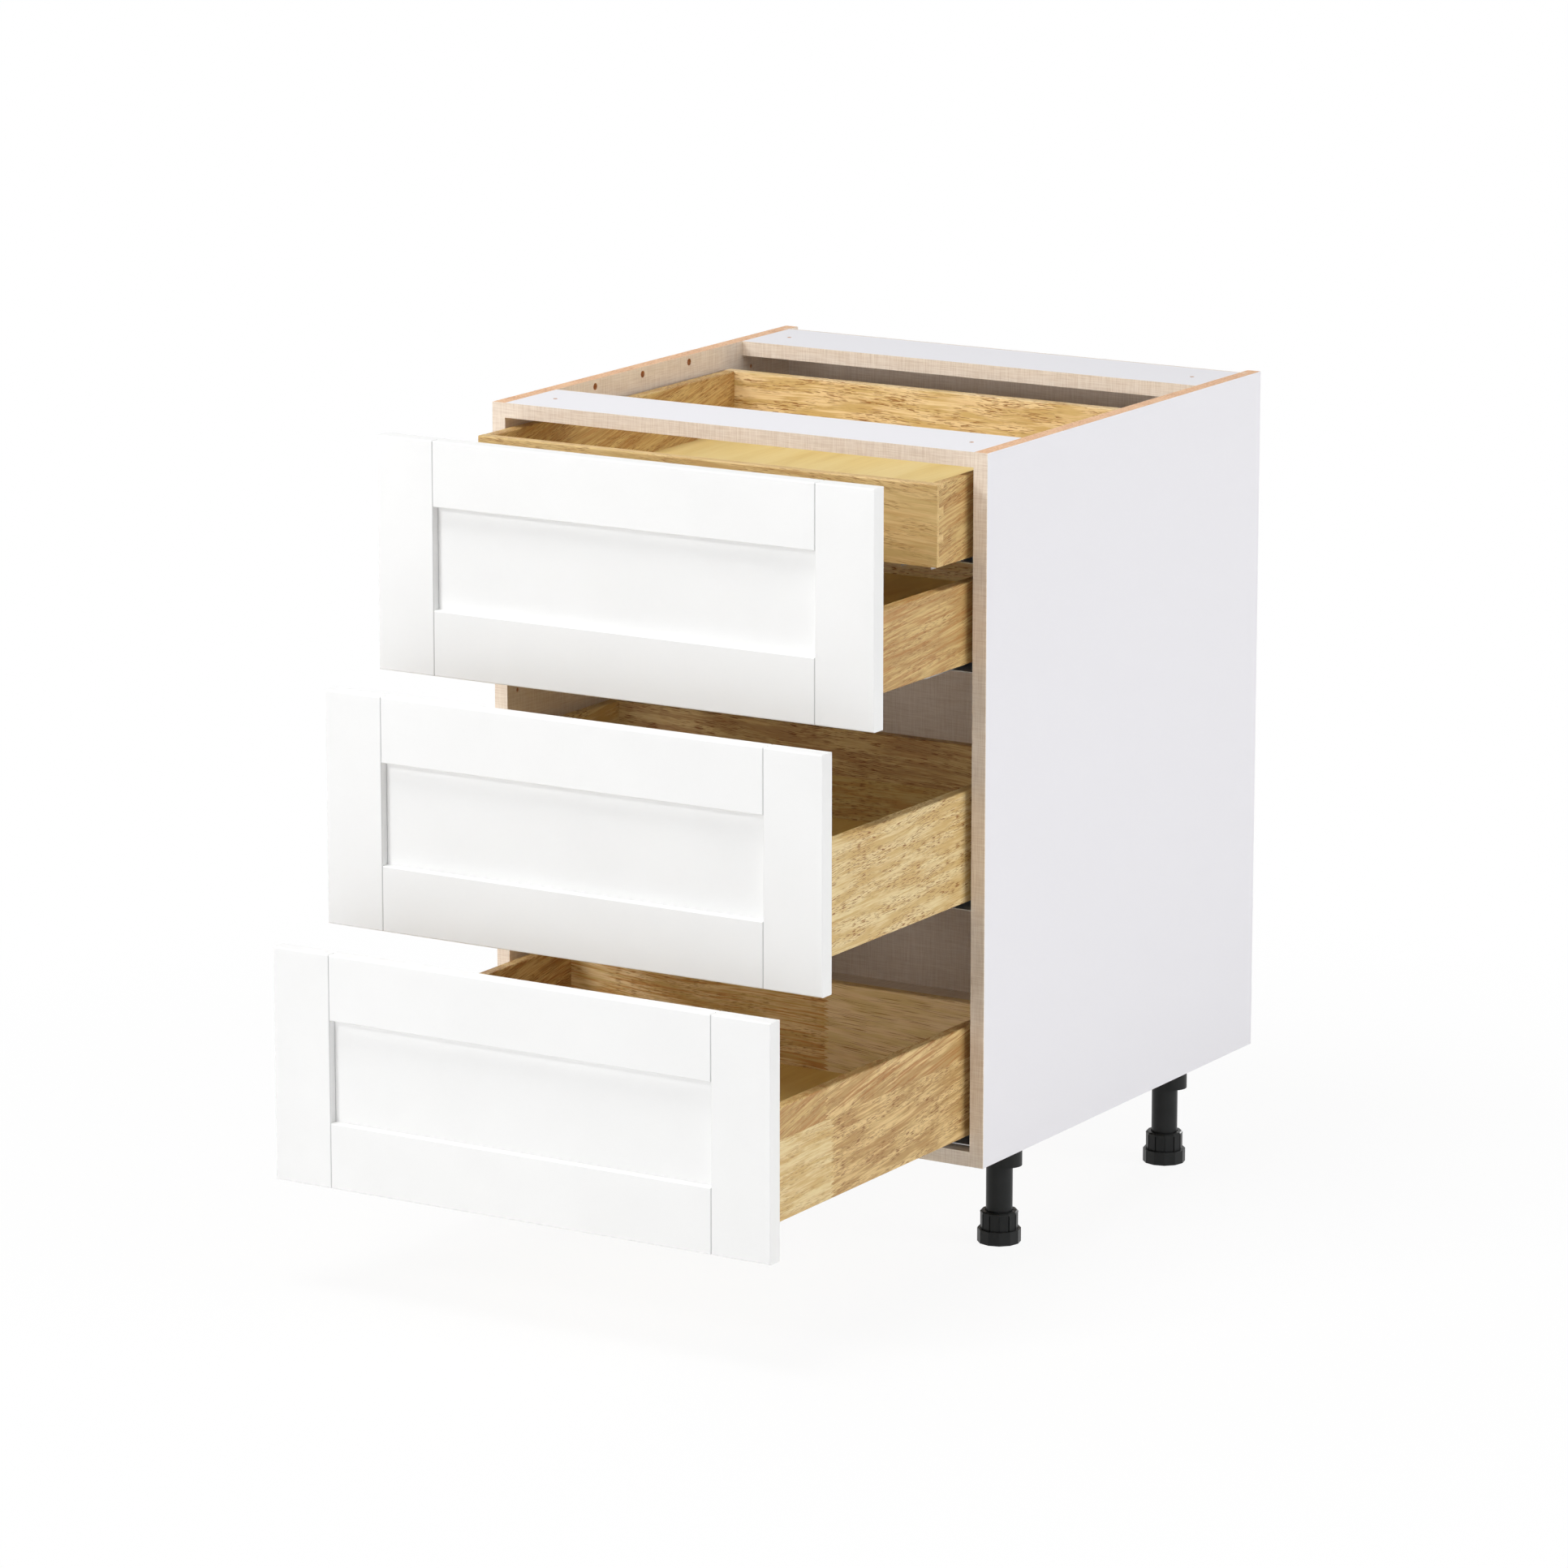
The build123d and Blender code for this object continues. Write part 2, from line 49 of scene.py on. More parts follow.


# ---- node helpers ----------------------------------------------------------------------------
class Look:
    """One material and the nodes that colour it."""

    def __init__(self, name, roughness=0.5, metallic=0.0, specular=0.5):
        self.material = bpy.data.materials.new(name)
        self.material.use_nodes = True
        self.tree = self.material.node_tree
        self.shader = self.tree.nodes["Principled BSDF"]
        self.shader.inputs["Roughness"].default_value = roughness
        self.shader.inputs["Metallic"].default_value = metallic
        self.shader.inputs["Specular IOR Level"].default_value = specular
        place = self.add("TexCoord")
        self.place = place.outputs["Object"]
        self.normal = place.outputs["Normal"]

    def add(self, kind, **settings):
        node = self.tree.nodes.new("ShaderNode" + kind)
        for key, value in settings.items():
            setattr(node, key, value)
        return node

    def put(self, socket, value):
        if isinstance(value, bpy.types.NodeSocket):
            self.tree.links.new(value, socket)
        else:
            socket.default_value = value

    def math(self, operation, *values):
        node = self.add("Math", operation=operation)
        for socket, value in zip(node.inputs, values):
            self.put(socket, value)
        return node.outputs[0]

    def vector(self, operation, *values):
        node = self.add("VectorMath", operation=operation)
        for socket, value in zip(node.inputs, values):
            self.put(socket, value)
        return node.outputs["Value" if operation == "LENGTH" else "Vector"]

    def axes(self, vector):
        node = self.add("SeparateXYZ")
        self.put(node.inputs[0], vector)
        return node.outputs

    def join(self, x, y, z):
        node = self.add("CombineXYZ")
        for socket, value in zip(node.inputs, (x, y, z)):
            self.put(socket, value)
        return node.outputs[0]

    def noise(self, vector, stretch, detail=2.0, roughness=0.5, distortion=0.0, shift=(0, 0, 0)):
        """Noise over a place, finer along an axis where stretch, in cycles a metre, is larger."""
        moved = self.vector("MULTIPLY_ADD", vector, stretch, shift)
        node = self.add("TexNoise")
        self.put(node.inputs["Vector"], moved)
        node.inputs["Scale"].default_value = 1.0
        node.inputs["Detail"].default_value = detail
        node.inputs["Roughness"].default_value = roughness
        node.inputs["Distortion"].default_value = distortion
        return node.outputs["Fac"]

    def between(self, value, low, high):
        """0 below low, 1 above high, and smooth in between."""
        node = self.add("MapRange", interpolation_type="SMOOTHSTEP")
        for key, number in (("Value", value), ("From Min", low), ("From Max", high)):
            self.put(node.inputs[key], number)
        return node.outputs[0]

    def ramp(self, value, stops):
        """A colour ramp with (place, (r, g, b)) stops."""
        node = self.add("ValToRGB")
        self.put(node.inputs[0], value)
        elements = node.color_ramp.elements
        while len(elements) < len(stops):
            elements.new(0.5)
        for element, (place, colour) in zip(elements, stops):
            element.position = place
            element.color = (*colour, 1)
        return node.outputs[0]

    def mix(self, factor, first, second, blend="MIX"):
        node = self.add("Mix", data_type="RGBA", blend_type=blend)
        colours = [(*c, 1) if isinstance(c, tuple) else c for c in (first, second)]
        self.put(node.inputs[0], factor)
        self.put(node.inputs[6], colours[0])
        self.put(node.inputs[7], colours[1])
        return node.outputs[2]

    def bump(self, height, distance, strength):
        node = self.add("Bump")
        self.put(node.inputs["Height"], height)
        node.inputs["Distance"].default_value = distance
        node.inputs["Strength"].default_value = strength
        self.put(self.shader.inputs["Normal"], node.outputs[0])

    def colour(self, value):
        self.put(self.shader.inputs["Base Color"], value)

    def rough(self, value, low, high):
        """Roughness that follows a 0 to 1 value."""
        node = self.add("MapRange")
        self.put(node.inputs["Value"], value)
        node.inputs["To Min"].default_value = low
        node.inputs["To Max"].default_value = high
        self.put(self.shader.inputs["Roughness"], node.outputs[0])


def dress(names, look):
    """Give these CAD nodes one look all over."""
    for name in names:
        slots = nodes[name].material_slots
        if not slots:
            nodes[name].data.materials.append(look.material)
        for slot in slots:
            slot.material = look.material


# ---- boards ----------------------------------------------------------------------------------
LINEN_LIGHT = (0.90, 0.795, 0.68)
LINEN_THREAD = (0.72, 0.59, 0.475)
MELAMINE_WHITE = (0.84, 0.832, 0.866)
THREADS = 1050             # threads a metre of the printed linen, each way
THREAD_RUN = 34            # how fast a thread's tone changes along it, in cycles a metre


def linen_colour(look, light=LINEN_LIGHT, dark=LINEN_THREAD):
    """Fine crossed threads, each with its own tone, the same whichever way a face points."""
    place = look.axes(look.place)
    facing = look.axes(look.normal)
    total = 0.0
    for axis in range(3):
        count = look.math("FLOOR", look.math("MULTIPLY", place[axis], THREADS))
        along, up = place[(axis + 1) % 3], place[(axis + 2) % 3]
        thread = look.join(look.math("MULTIPLY", count, 7.31), along, up)
        tone = look.noise(thread, (1, THREAD_RUN, THREAD_RUN))
        seen = look.math("SUBTRACT", 1.0, look.math("ABSOLUTE", facing[axis]))
        total = look.math("MULTIPLY_ADD", look.math("SUBTRACT", tone, 0.5), seen, total)
    spread = look.between(total, -0.42, 0.36)
    return look.ramp(spread, ((0.0, dark), (1.0, light))), spread


def chipboard_colour(look):
    """Pressed chips of many browns."""
    flakes = look.noise(look.place, (420, 260, 420), detail=3.0, roughness=0.7)
    patches = look.noise(look.place, (60, 40, 60), detail=2.0)
    value = look.math("ADD", flakes, look.math("MULTIPLY", patches, 0.35))
    stops = (
        (0.36, (0.36, 0.15, 0.055)),
        (0.47, (0.62, 0.30, 0.125)),
        (0.60, (0.76, 0.42, 0.20)),
        (0.80, (0.86, 0.58, 0.34)),
    )
    return look.ramp(look.math("MULTIPLY", value, 0.85), stops)


def finish_linen(look, spread):
    """The printed foil is duller and stands a hair higher where its threads are light."""
    look.rough(spread, 0.42, 0.52)
    look.bump(spread, 0.00012, 0.35)


def side_board():
    """White outside, linen inside, and bare chipboard at the edges and in the holes."""
    look = Look("side_board", specular=0.4)
    linen, spread = linen_colour(look)
    out = look.math("ABSOLUTE", look.axes(look.place)[0])
    on_outside = look.math("GREATER_THAN", out, HALF_WIDTH - SKIN)
    on_inside = look.math("LESS_THAN", out, HALF_INSIDE + SKIN)
    colour = look.mix(on_outside, chipboard_colour(look), MELAMINE_WHITE)
    look.colour(look.mix(on_inside, colour, linen))
    finish_linen(look, look.math("MULTIPLY", spread, on_inside))
    return look


def rail_board():
    """White on its upper face and linen below, with bare chipboard in the screw holes."""
    look = Look("rail_board", specular=0.15)
    linen, spread = linen_colour(look)
    up = look.axes(look.normal)[2]
    on_top = look.math("GREATER_THAN", up, 0.5)
    below = look.math("LESS_THAN", up, -0.5)
    colour = look.mix(on_top, chipboard_colour(look), MELAMINE_WHITE)
    look.colour(look.mix(below, colour, linen))
    finish_linen(look, look.math("MULTIPLY", spread, below))
    return look


def linen_board(name, *tones):
    """A board with linen on every face."""
    look = Look(name, specular=0.4)
    linen, spread = linen_colour(look, *tones)
    look.colour(linen)
    finish_linen(look, spread)
    return look


def beech():
    """Turned dowels, their grain running from side to side."""
    look = Look("dowel_beech", roughness=0.6)
    grain = look.noise(look.place, (25, 700, 700), detail=3.0)
    look.colour(look.ramp(grain, ((0.3, (0.52, 0.33, 0.17)), (0.7, (0.76, 0.58, 0.37)))))
    look.bump(grain, 0.0001, 0.5)
    return look


# ---- drawer wood -----------------------------------------------------------------------------
PAST = 9                   # further out than any board reaches
FINGER_PITCH = 0.0045      # from one tooth of a finger joint to the next
FINGER_REACH = 0.007       # how far the teeth reach into each other
STREAK_TINT = (0.86, 0.60, 0.44)
PORE_TINT = (0.46, 0.27, 0.16)
STREAK_SHIFT = (3.1, 4.7, 1.9)     # so that streaks, patches and pores don't lie on one another
PATCH_SHIFT = (5.3, 0.9, 8.8)
PORE_SHIFT = (9.2, 0.4, 5.5)
GOLD = (0.74, 0.535, 0.245)
TAN = (0.64, 0.455, 0.19)
HONEY = (0.62, 0.43, 0.175)
CREAM = (0.77, 0.62, 0.33)
PALE = (0.85, 0.66, 0.375)
# Painted light: a paler wood than the rest, for rear boards that sit in the cabinet's shade, so
# that they read brighter there.
STRAW_PAINTED_LIGHT = (0.90, 0.73, 0.49)
OLIVE = (0.60, 0.465, 0.21)
BROWN = (0.48, 0.30, 0.11)
DRAB = (0.62, 0.465, 0.235)
UMBER = (0.43, 0.28, 0.135)


class Block:
    """A length of wood in a glued-up board: its span, its colours and how its grain runs."""

    def __init__(self, light, dark, along=(-PAST, PAST), up=(-PAST, PAST), **grain):
        self.light = light
        self.dark = dark
        self.along = along
        self.up = up
        # The grain's rise along the board, the strength of its red streaks and of its open pores,
        # how long the pores are, and where in the pattern the block lies.
        self.grain = {"slope": 0.0, "streaks": 0.3, "pores": 0.6, "length": 1.0, "shift": 0.0}
        self.grain.update(grain)


def lay_blocks(look, along, up, blocks):
    """The two colours and the grain of the block that a point lies in."""
    teeth = look.math("PINGPONG", up, FINGER_PITCH / 2)
    toothed = look.math("MULTIPLY_ADD", teeth, 2 * FINGER_REACH / FINGER_PITCH, along)
    light, dark = blocks[0].light, blocks[0].dark
    grain = dict(blocks[0].grain)
    for block in blocks[1:]:
        inside = 1.0
        for value, (low, high) in ((toothed, block.along), (up, block.up)):
            inside = look.math("MULTIPLY", inside, look.math("GREATER_THAN", value, low))
            inside = look.math("MULTIPLY", inside, look.math("LESS_THAN", value, high))
        light = look.mix(inside, light, block.light)
        dark = look.mix(inside, dark, block.dark)
        for key, number in block.grain.items():
            change = look.math("SUBTRACT", number, grain[key])
            grain[key] = look.math("MULTIPLY_ADD", inside, change, grain[key])
    return light, dark, grain


def rubberwood(name, grain_axis, blocks):
    """Oiled, finger-jointed rubberwood with its grain along X (0) or Y (1)."""
    look = Look(name, roughness=0.5, specular=0.35)
    place = look.axes(look.place)
    along, across, up = place[grain_axis], place[1 - grain_axis], place[2]
    light, dark, grain = lay_blocks(look, along, up, blocks)

    rise = look.math("MULTIPLY_ADD", along, grain["slope"], up)
    run = look.math("ADD", along, grain["shift"])
    depth = look.math("ADD", across, grain["shift"])
    wander = look.noise(look.join(run, depth, rise), (5, 7, 16), detail=1.0)
    rise = look.math("MULTIPLY_ADD", wander, 0.014, rise)
    fibre_place = look.join(run, depth, rise)

    tone = look.noise(fibre_place, (13, 55, 95), detail=3.0, roughness=0.6)
    fibres = look.noise(fibre_place, (16, 640, 700), detail=2.5, roughness=0.65)
    value = look.math("MULTIPLY_ADD", fibres, 0.6, tone)
    colour = look.mix(look.between(value, 0.69, 0.91), dark, light)

    streak = look.noise(fibre_place, (14, 330, 420), detail=3.0, roughness=0.65, shift=STREAK_SHIFT)
    streaked = look.math("MULTIPLY", look.between(streak, 0.47, 0.62), grain["streaks"])
    colour = look.mix(streaked, colour, look.mix(1.0, dark, STREAK_TINT, "MULTIPLY"))

    # Pores are short dashes that come in patches. They are darker and lie lower than the fibres.
    patch = look.noise(fibre_place, (15, 50, 80), shift=PATCH_SHIFT)
    pore_place = look.join(look.math("DIVIDE", run, grain["length"]), depth, rise)
    dash = look.noise(pore_place, (100, 1250, 1400), detail=1.0, roughness=0.4, shift=PORE_SHIFT)
    pore = look.math("MULTIPLY", look.between(dash, 0.545, 0.61), look.between(patch, 0.35, 0.58))
    pore = look.math("MULTIPLY", pore, grain["pores"])
    look.colour(look.mix(pore, colour, look.mix(1.0, dark, PORE_TINT, "MULTIPLY")))
    look.rough(fibres, 0.40, 0.58)
    look.bump(look.math("SUBTRACT", look.math("MULTIPLY", fibres, 0.4), pore), 0.00012, 0.35)
    return look


def plywood():
    """Birch face veneer, its grain running from front to back."""
    look = Look("birch_veneer", roughness=0.45, specular=0.35)
    swirl = look.noise(look.place, (26, 3, 26), detail=3.0, roughness=0.55, distortion=0.8)
    fibres = look.noise(look.place, (520, 16, 520), detail=2.0)
    value = look.math("ADD", look.math("MULTIPLY", swirl, 0.7), look.math("MULTIPLY", fibres, 0.3))
    stops = ((0.32, (0.75, 0.54, 0.19)), (0.50, (0.85, 0.655, 0.27)), (0.68, (0.90, 0.73, 0.355)))
    look.colour(look.ramp(value, stops))
    look.rough(fibres, 0.36, 0.5)
    look.bump(fibres, 0.00008, 0.3)
    return look


# ---- paint, metal and plastic ------------------------------------------------------------------
def white_paint():
    """Satin lacquer with a faint orange peel, and a dark line of painted shade in the V-groove
    where a rail meets a stile.
    """
    look = Look("white_lacquer", specular=0.45)
    cloud = look.noise(look.place, (9, 9, 9), detail=2.0)
    peel = look.noise(look.place, (900, 900, 900), detail=1.0)
    out = look.math("ABSOLUTE", look.axes(look.place)[0])
    # Painted shade: a dark line down the V-groove where a rail meets a stile, on the front faces
    # only.
    from_joint = look.math("ABSOLUTE", look.math("SUBTRACT", out, JOINT_X))
    painted_groove_shade = look.math("SUBTRACT", 1.0, look.between(from_joint, GROOVE_SHADE_WIDTH / 2, GROOVE_SHADE_WIDTH))
    on_face = look.math("LESS_THAN", look.axes(look.normal)[1], -0.3)
    painted_groove_shade = look.math("MULTIPLY", painted_groove_shade, on_face)
    paint = look.ramp(cloud, ((0.3, (0.865, 0.865, 0.86)), (0.7, (0.885, 0.885, 0.88))))
    look.colour(look.mix(look.math("MULTIPLY", painted_groove_shade, 0.6), paint, (0.45, 0.45, 0.46)))
    look.rough(cloud, 0.30, 0.36)
    look.bump(peel, 0.00003, 0.25)
    return look


def zinc():
    """Bright zinc plate, drawn along the runner."""
    look = Look("zinc_plate", metallic=0.95)
    spangle = look.noise(look.place, (90, 90, 90), detail=2.0)
    drawn = look.noise(look.place, (1500, 12, 1500), detail=2.0)
    look.colour(look.ramp(spangle, ((0.35, (0.50, 0.51, 0.53)), (0.65, (0.68, 0.69, 0.70)))))
    look.rough(drawn, 0.34, 0.52)
    look.bump(drawn, 0.00004, 0.4)
    return look


def plastic(name, dark, light, low, high, specular):
    """Moulded plastic with a fine spark-eroded grain."""
    look = Look(name, specular=specular)
    cloud = look.noise(look.place, (30, 30, 30), detail=2.0)
    grain = look.noise(look.place, (1600, 1600, 1600), detail=2.0)
    look.colour(look.ramp(cloud, ((0.35, dark), (0.65, light))))
    look.rough(cloud, low, high)
    look.bump(grain, 0.00005, 0.3)
    return look


LINEN = linen_board("linen_board")
# Painted shade: the back panel gets its own slightly darker copy of the linen, toned to the shade
# inside the cabinet.
BACK_SHADED_LIGHT = (0.84, 0.735, 0.64)
BACK_SHADED_THREAD = (0.68, 0.56, 0.465)
BACK_LINEN_SHADED = linen_board("back_linen_painted_shade", BACK_SHADED_LIGHT, BACK_SHADED_THREAD)
STEEL = zinc()
LEG_DARK = (0.009, 0.010, 0.010)
LEG_LIGHT = (0.014, 0.015, 0.015)
LEG_PLASTIC = plastic("leg_plastic", LEG_DARK, LEG_LIGHT, 0.34, 0.46, 0.2)
RUNNER_DARK = (0.055, 0.058, 0.062)
RUNNER_LIGHT = (0.08, 0.083, 0.088)
RUNNER_PLASTIC = plastic("runner_plastic", RUNNER_DARK, RUNNER_LIGHT, 0.38, 0.5, 0.35)

dress(("left_side_panel", "right_side_panel"), side_board())
dress(("front_rail", "rear_rail"), rail_board())
dress(("bottom_panel", "edge_bands"), LINEN)
dress(("back_panel",), BACK_LINEN_SHADED)
dress(("dowels",), beech())
dress(("leg_sockets", "leg_tubes"), LEG_PLASTIC)
dress([name for name in nodes if name.endswith("_foot")], LEG_PLASTIC)
dress([name for name in nodes if "_front_" in name and "_box_" not in name], white_paint())
dress([name for name in nodes if name.endswith("_box_bottom")], plywood())
dress([name for name in nodes if name.endswith("_runners")], STEEL)
dress([name for name in nodes if name.endswith(("_carriages", "_clips"))], RUNNER_PLASTIC)

# Each board's blocks, the first one lying under the rest. Heights are above the floor.
GLUE_Z = 0.230             # where the two strips of the lowest drawer's sides meet
LOW_STRIP = (-PAST, GLUE_Z)
HIGH_STRIP = (GLUE_Z, PAST)
LOW_JOINT_Y = -0.354       # the finger joint in their lower strip
HIGH_JOINT_Y = -0.366      # and in their upper one
BACK_JOINT_X = 0.062       # the finger joint in the lowest drawer's back board
BACK_GLUE_Z = 0.466        # where the two strips of the second drawer's back board meet
SIDE_WOOD = {
    "drawer1": [Block(TAN, BROWN, slope=-0.11, streaks=0.7, pores=0.6)],
    "drawer2": [Block(CREAM, HONEY, slope=-0.05, streaks=0.15, pores=1.0, shift=4.1)],
    "drawer3": [
        Block(GOLD, BROWN, slope=-0.10, streaks=0.35, pores=0.9, shift=2.3),
        Block(CREAM, HONEY, (-PAST, LOW_JOINT_Y), LOW_STRIP, streaks=0.25, pores=0.5, shift=6.4),
        Block(TAN, BROWN, (-PAST, HIGH_JOINT_Y), HIGH_STRIP, slope=-0.25, streaks=0.7, shift=8.8),
        Block(GOLD, BROWN, (HIGH_JOINT_Y, PAST), HIGH_STRIP, slope=-0.17, streaks=0.8, shift=1.2),
    ],
    "inner": [Block(TAN, BROWN, slope=-0.22, streaks=0.6, pores=0.8, shift=5.2)],
}
# Painted light: the top and lowest drawers' rear boards start from the paler straw wood to make up
# for the shade inside the cabinet.
BACK_WOOD = {
    "drawer1": [Block(STRAW_PAINTED_LIGHT, CREAM, streaks=0.4, pores=0.9, shift=3.3)],
    "drawer2": [
        Block(OLIVE, BROWN, streaks=0.1, pores=0.7, shift=2.9),
        Block(DRAB, UMBER, up=(BACK_GLUE_Z, PAST), slope=0.05, pores=1.0, length=1.5, shift=7.7),
    ],
    "drawer3": [
        Block(STRAW_PAINTED_LIGHT, CREAM, slope=0.04, streaks=0.15, pores=0.8, length=4.0, shift=1.6),
        Block(PALE, TAN, (-PAST, BACK_JOINT_X), slope=0.03, streaks=0.9, pores=0.7, shift=9.4),
    ],
    "inner": [Block(PALE, TAN, streaks=0.2, pores=0.9, shift=6.6)],
}
FRONT_WOOD = {
    "drawer1": [Block(GOLD, TAN, streaks=0.3, pores=0.8, shift=2.2)],
    "drawer2": [Block(TAN, BROWN, streaks=0.4, pores=0.7, shift=4.9)],
    "drawer3": [Block(GOLD, TAN, streaks=0.3, pores=0.8, shift=8.1)],
    "inner": [Block(GOLD, HONEY, slope=0.06, streaks=0.3, pores=0.6, shift=0.9)],
}
for drawer in DRAWERS:
    dress((f"{drawer}_box_sides",), rubberwood(f"{drawer}_side_wood", 1, SIDE_WOOD[drawer]))
    dress((f"{drawer}_box_front",), rubberwood(f"{drawer}_front_wood", 0, FRONT_WOOD[drawer]))
    dress((f"{drawer}_box_back",), rubberwood(f"{drawer}_back_wood", 0, BACK_WOOD[drawer]))


# ---- small fasteners ---------------------------------------------------------------------------
def mesh_object(name, bm):
    mesh = bpy.data.meshes.new(name)
    bm.to_mesh(mesh)
    bm.free()
    piece = bpy.data.objects.new(name, mesh)
    bpy.context.scene.collection.objects.link(piece)
    return piece


SCREW_STEPS = 24           # corners round a screw head
SCREW_TURN = 1.1           # from one screw to the next, in radians


def pan_head(radius, height):
    """A screw's pan head with a cross recess, seated on z = 0 and facing +Z."""
    profile = ((1.0, 0.0), (1.0, 0.28), (0.93, 0.58), (0.76, 0.82), (0.5, 0.95), (0.25, 1.0))
    bm = bmesh.new()
    rings = []
    for share, up in profile:
        out = share * radius
        ring = []
        for i in range(SCREW_STEPS):
            turn = 2 * pi * i / SCREW_STEPS
            ring.append(bm.verts.new((out * cos(turn), out * sin(turn), up * height)))
        rings.append(ring)
    for low, high in zip(rings, rings[1:]):
        for i in range(SCREW_STEPS):
            after = (i + 1) % SCREW_STEPS
            bm.faces.new((low[i], low[after], high[after], high[i]))
    bm.faces.new(rings[-1])
    bm.faces.new(rings[0][::-1])
    head = mesh_object("head", bm)

    bm = bmesh.new()
    for turn in (0, pi / 2):
        made = bmesh.ops.create_cube(bm, size=1.0)["verts"]
        bmesh.ops.scale(bm, vec=(radius * 1.15, radius * 0.26, height), verts=made)
        place = Matrix.Translation((0, 0, height)) @ Matrix.Rotation(turn, 4, "Z")
        bmesh.ops.transform(bm, matrix=place, verts=made)
    cross = mesh_object("cross", bm)
    cut = head.modifiers.new("recess", "BOOLEAN")
    cut.operation = "DIFFERENCE"
    cut.use_self = True
    cut.object = cross
    seen = head.evaluated_get(bpy.context.evaluated_depsgraph_get())
    mesh = bpy.data.meshes.new_from_object(seen)
    bpy.data.objects.remove(head)
    bpy.data.objects.remove(cross)
    return mesh


def screws(name, body, head, places):
    """Copies of a screw head at (place, direction it faces) pairs, as one piece on a body.

    Each head is turned by another angle, as driven screws are.
    """
    bm = bmesh.new()
    for i, (place, facing) in enumerate(places):
        turn = Vector(facing).to_track_quat("Z", "Y").to_matrix().to_4x4()
        copy = head.copy()
        copy.transform(Matrix.Translation(place) @ turn @ Matrix.Rotation(SCREW_TURN * i, 4, "Z"))
        bm.from_mesh(copy)
        bpy.data.meshes.remove(copy)
    piece = mesh_object(name, bm)
    piece.data.materials.append(STEEL.material)
    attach(piece, body)


SHEET = 0.0012             # thickness of the runner steel
SLOT_PLACES = (0.024, 0.280, 0.440)    # runner screws, behind the runner's front end
SLOT_UP = 0.017            # the same, above the lower edge of the drawer box
SOCKET_SCREW = 0.025       # leg socket screws, each way from the plate's middle
SOCKET_MIDDLE = 0.260      # the plate's middle, from the middle of the cabinet
SOCKET_PLATE = 0.003       # its thickness
FRONT_SCREW_X = 0.190      # screws through the box's front board, each way from its middle
FRONT_SCREW_LOW = 0.038    # the same, above the board's lower edge
FRONT_SCREW_HIGH = 0.022   # and below its upper edge
small_head = pan_head(0.0041, 0.0022)
large_head = pan_head(0.0048, 0.0028)

runner_places = []
for drawer in DRAWERS:
    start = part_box(f"{drawer}_cabinet_runners")[0].y
    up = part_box(f"{drawer}_box_sides")[0].z + SLOT_UP
    for side in (-1, 1):
        for back in SLOT_PLACES:
            runner_places.append(((side * (HALF_INSIDE - SHEET), start + back, up), (-side, 0, 0)))
screws("runner_screws", "carcass", small_head, runner_places)

socket_places = []
for foot in ("front_left", "front_right", "rear_left", "rear_right"):
    low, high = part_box(foot + "_foot")
    side = 1 if low.x > 0 else -1
    middle = (low.y + high.y) / 2
    for across in (-SOCKET_SCREW, SOCKET_SCREW):
        for along in (-SOCKET_SCREW, SOCKET_SCREW):
            spot = (side * SOCKET_MIDDLE + across, middle + along, PANEL_LOW.z - SOCKET_PLATE)
            socket_places.append((spot, (0, 0, -1)))
screws("leg_socket_screws", "carcass", small_head, socket_places)

for drawer in DRAWERS[:3]:
    low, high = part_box(f"{drawer}_box_front")
    front_places = []
    for side in (-1, 1):
        for up in (low.z + FRONT_SCREW_LOW, high.z - FRONT_SCREW_HIGH):
            front_places.append(((side * FRONT_SCREW_X, high.y, up), (0, 1, 0)))
    screws(f"{drawer}_front_screws", drawer, large_head, front_places)


THREAD_ROOT = 0.0104       # radius of the thread's foot, just inside the spindle
THREAD_CREST = 0.0109
THREAD_PITCH = 0.003
THREAD_STEPS = 24          # corners in one turn
THREAD_FROM = 0.014        # above the foot's underside
THREAD_PROFILE = (         # (radius, height in pitches)
    (THREAD_ROOT, -0.45),
    (THREAD_CREST, -0.1),
    (THREAD_CREST, 0.1),
    (THREAD_ROOT, 0.45),
)


def spindle_thread(foot):
    """The screw thread round a foot's spindle, which shows when the foot is wound out."""
    low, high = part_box(foot)
    middle = (low + high) / 2
    bottom, top = low.z + THREAD_FROM, high.z - THREAD_PITCH
    count = int((top - bottom) / THREAD_PITCH) * THREAD_STEPS
    bm = bmesh.new()
    before = None
    for i in range(count + 1):
        turn = 2 * pi * i / THREAD_STEPS
        z = bottom + THREAD_PITCH * i / THREAD_STEPS
        ring = []
        for out, up in THREAD_PROFILE:
            spot = (middle.x + out * cos(turn), middle.y + out * sin(turn), z + up * THREAD_PITCH)
            ring.append(bm.verts.new(spot))
        if before:
            for k in range(4):
                after = (k + 1) % 4
                bm.faces.new((before[k], ring[k], ring[after], before[after]))
        else:
            bm.faces.new(ring)
        before = ring
    bm.faces.new(before[::-1])
    bmesh.ops.recalc_face_normals(bm, faces=bm.faces)
    piece = mesh_object(f"{foot}_thread", bm)
    piece.data.materials.append(LEG_PLASTIC.material)
    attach(piece, foot)


for name in nodes:
    if name.endswith("_foot"):
        spindle_thread(name)


# ---- floor, light and camera -------------------------------------------------------------------
FLOOR_SIZE = 60
FLOOR_DROP = 0.0005        # how far the floor lies below the feet
SHADOWED = 0.92            # share of plain white near the cabinet; the rest takes shadow
SHADOW_ENDS = (0.5, 1.6)   # how far out that share starts to rise, and where it is all


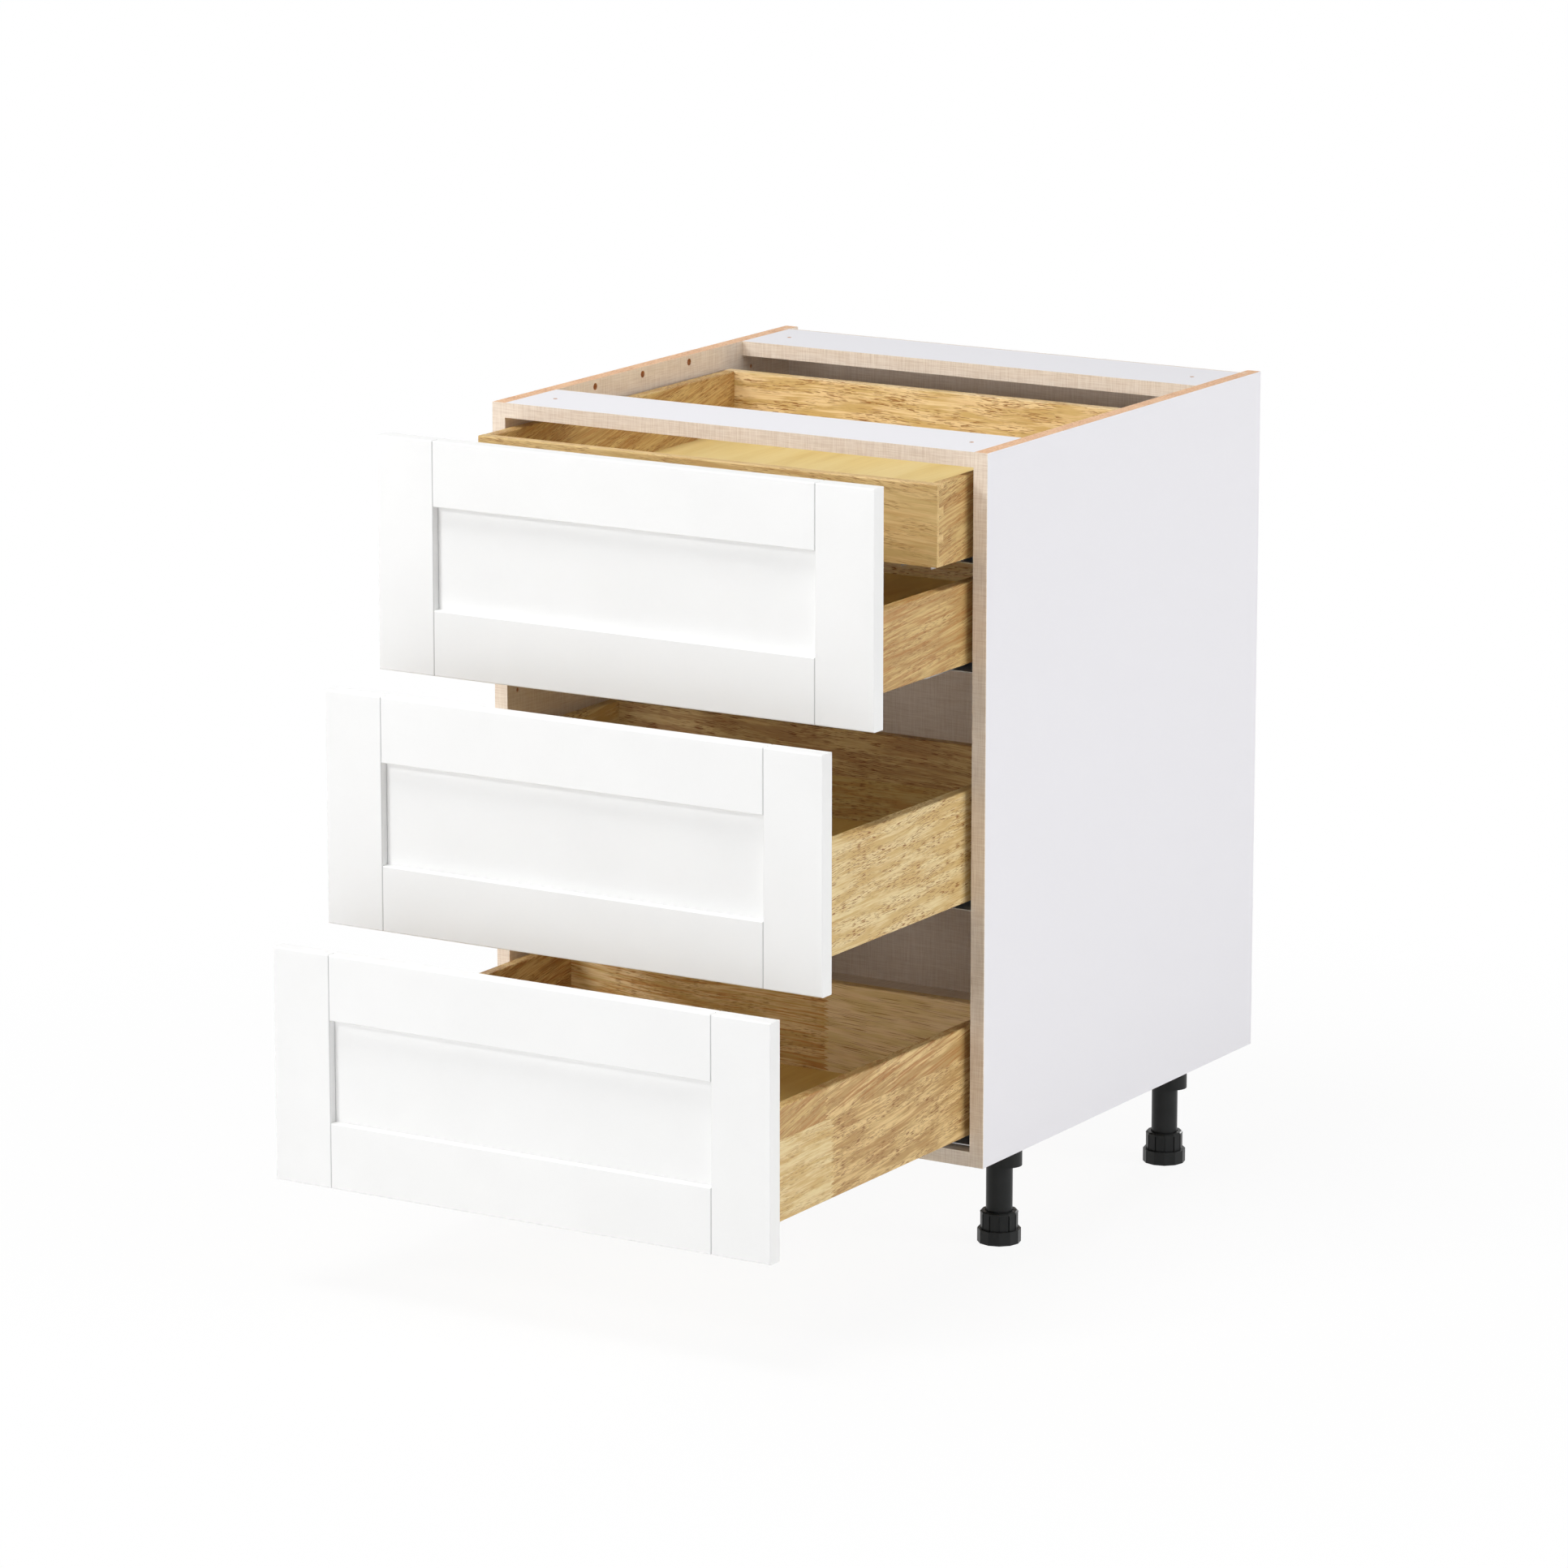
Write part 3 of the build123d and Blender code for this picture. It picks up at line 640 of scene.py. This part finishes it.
def stage_floor():
    """A floor that looks white, keeps the cabinet's shadow, and lights it as pale paint would."""
    bpy.ops.mesh.primitive_plane_add(size=FLOOR_SIZE, location=(0, 0, -FLOOR_DROP))
    floor = bpy.context.object
    floor.name = "floor"
    look = Look("pale_floor", roughness=0.8)
    look.shader.inputs["Base Color"].default_value = (0.86, 0.86, 0.86, 1)
    rays = look.add("LightPath")
    seen = look.math("MAXIMUM", rays.outputs["Is Camera Ray"], rays.outputs["Is Glossy Ray"])
    seen = look.math("MAXIMUM", seen, rays.outputs["Is Transmission Ray"])
    glow = look.add("Emission")
    glow.inputs["Strength"].default_value = 1.0
    blend = look.add("MixShader")
    away = look.between(look.vector("LENGTH", look.place), *SHADOW_ENDS)
    clean = look.math("MULTIPLY_ADD", away, 1 - SHADOWED, SHADOWED)
    look.put(blend.inputs[0], look.math("MULTIPLY", seen, clean))
    look.put(blend.inputs[1], look.shader.outputs[0])
    look.put(blend.inputs[2], glow.outputs[0])
    output = look.tree.nodes["Material Output"]
    look.put(output.inputs["Surface"], blend.outputs[0])
    floor.data.materials.append(look.material)


def sky(strength):
    """A world that is white to the eye and in reflections, and lights the cabinet faintly."""
    world = bpy.data.worlds.new("studio")
    bpy.context.scene.world = world
    world.use_nodes = True
    tree = world.node_tree
    background = tree.nodes["Background"]
    rays = tree.nodes.new("ShaderNodeLightPath").outputs
    seen = rays["Is Camera Ray"]
    for kind in ("Is Glossy Ray", "Is Transmission Ray"):
        larger = tree.nodes.new("ShaderNodeMath")
        larger.operation = "MAXIMUM"
        tree.links.new(seen, larger.inputs[0])
        tree.links.new(rays[kind], larger.inputs[1])
        seen = larger.outputs[0]
    level = tree.nodes.new("ShaderNodeMapRange")
    tree.links.new(seen, level.inputs["Value"])
    level.inputs["To Min"].default_value = strength
    level.inputs["To Max"].default_value = 1.0
    background.inputs["Color"].default_value = (1, 1, 1, 1)
    tree.links.new(level.outputs[0], background.inputs["Strength"])


MIDDLE = Vector((0, 0, 0.45))


def soft_lamp(name, place, size, power):
    """A round lamp that faces the middle of the cabinet."""
    data = bpy.data.lights.new(name, "AREA")
    data.shape = "DISK"
    data.size = size
    data.energy = power
    lamp = bpy.data.objects.new(name, data)
    bpy.context.scene.collection.objects.link(lamp)
    lamp.location = place
    lamp.rotation_euler = (MIDDLE - lamp.location).to_track_quat("-Z", "Y").to_euler()
    return lamp


stage_floor()
sky(0.08)
soft_lamp("key", (-1.2, -5.0, 1.55), 1.1, 45)
soft_lamp("high_key", (-2.2, -4.2, 3.2), 1.1, 77)
soft_lamp("top", (-0.5, -1.3, 4.4), 1.8, 94)
soft_lamp("right", (5.0, 0.7, 1.8), 3.0, 132)
soft_lamp("left", (-5.2, 0.6, 1.5), 3.0, 90)
soft_lamp("behind", (-0.4, 5.6, 0.9), 1.6, 110)
fill = soft_lamp("fill", (3.0, -5.0, 1.8), 3.0, 34)
fill.data.use_shadow = False

# The camera was solved from the edges of the cabinet in the photograph.
CAMERA_DOWN = 12.75        # how far it looks down, in degrees
CAMERA_TURN = 31.42        # how far it stands round to the right
camera_data = bpy.data.cameras.new("camera")
camera_data.lens = 163.66
camera_data.sensor_width = 36
camera_data.clip_end = 100
camera = bpy.data.objects.new("camera", camera_data)
bpy.context.scene.collection.objects.link(camera)
camera.location = (3.886, -6.3525, 2.160)
camera.rotation_euler = (radians(90 - CAMERA_DOWN), 0, radians(CAMERA_TURN))
bpy.context.scene.camera = camera
bpy.context.scene.view_settings.view_transform = "Standard"
